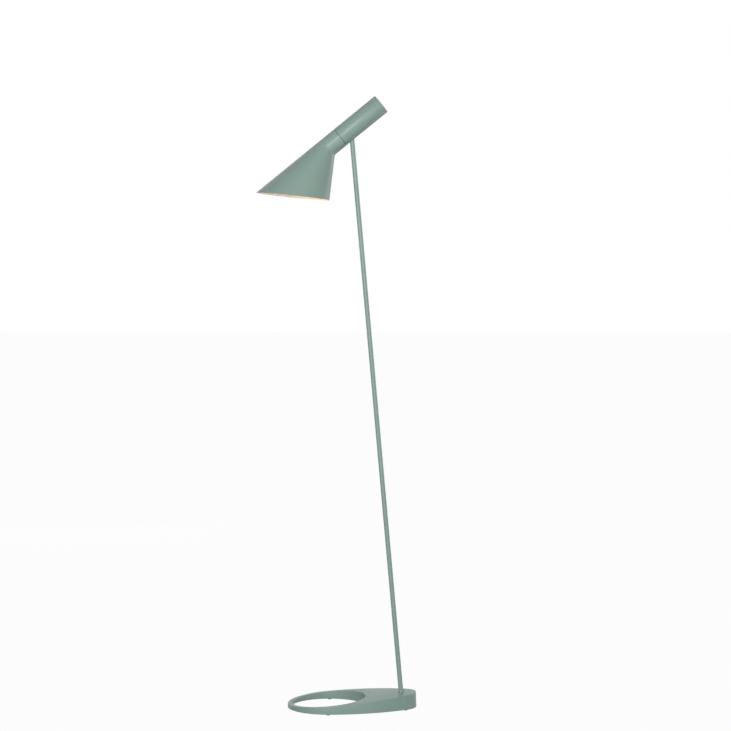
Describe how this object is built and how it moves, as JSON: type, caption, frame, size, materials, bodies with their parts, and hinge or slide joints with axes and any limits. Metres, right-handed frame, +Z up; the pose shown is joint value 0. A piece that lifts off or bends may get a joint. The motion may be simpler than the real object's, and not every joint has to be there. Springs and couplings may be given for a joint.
{
  "type": "floor lamp",
  "caption": "Floor lamp: an egg-shaped foot with a round hole, a thin leaning pole, and a tilting tube head with a slanted cone shade.",
  "frame": {"origin": "on the floor, under the middle of the lamp's overall box, in the plane that halves the lamp", "axes": "+Z up, the head points towards -X, +Y is the side away from the viewer when the head is on the left"},
  "size_m": [0.3395, 0.176, 1.2989],
  "materials": {
    "paint": "satin",
    "steel": "satin",
    "rubber": "matte",
    "brass": "satin",
    "white_plastic": "matte",
    "black_plastic": "matte",
    "alloy": "satin",
    "opal_glass": "gloss"
  },
  "bodies": {
    "stand": {"base_casting": "paint", "base_cover_plate": "steel", "cover_screws": "steel", "rubber_feet": "rubber", "cord_inlet_bush": "rubber", "terminal_block": "white_plastic", "terminal_screws": "brass", "terminal_fixing_screw": "steel", "earth_screw": "steel", "earth_tag": "brass", "pole_tube": "paint", "pole_stud": "steel", "pole_washer": "steel", "pole_lock_washer": "steel", "pole_nut": "steel", "inner_lead": "black_plastic", "pole_top_knuckle": "alloy"},
    "head": {"head_tube": "paint", "lamp_shade": "paint", "joint_housing": "alloy", "hinge_screw": "steel", "friction_washers": "black_plastic", "spring_washer": "steel", "hinge_nut": "steel", "housing_set_screws": "steel", "lampholder_nipple": "steel", "nipple_nut": "steel", "lampholder_body": "black_plastic", "lampholder_shell": "brass", "lampholder_contact": "brass", "bulb_globe": "opal_glass", "bulb_cap": "steel", "bulb_insulator": "black_plastic", "bulb_contact": "steel", "rear_cap": "black_plastic", "switch_body": "black_plastic", "switch_nut": "steel", "head_leads": "white_plastic"},
    "push": {"switch_button": "black_plastic"}
  },
  "joints": [
    {"name": "head_tilt", "type": "hinge", "parent": "stand", "child": "head", "pos_m": [0.0306, 0, 1.23069], "axis": [0, 1, 0], "range_deg": [-8, 60]},
    {"name": "switch_push", "type": "slide", "parent": "head", "child": "push", "axis": [-0.776, 0, -0.6307], "range_m": [0, 0.002], "stiffness_N_per_m": 400, "springref_m": -0.002}
  ]
}
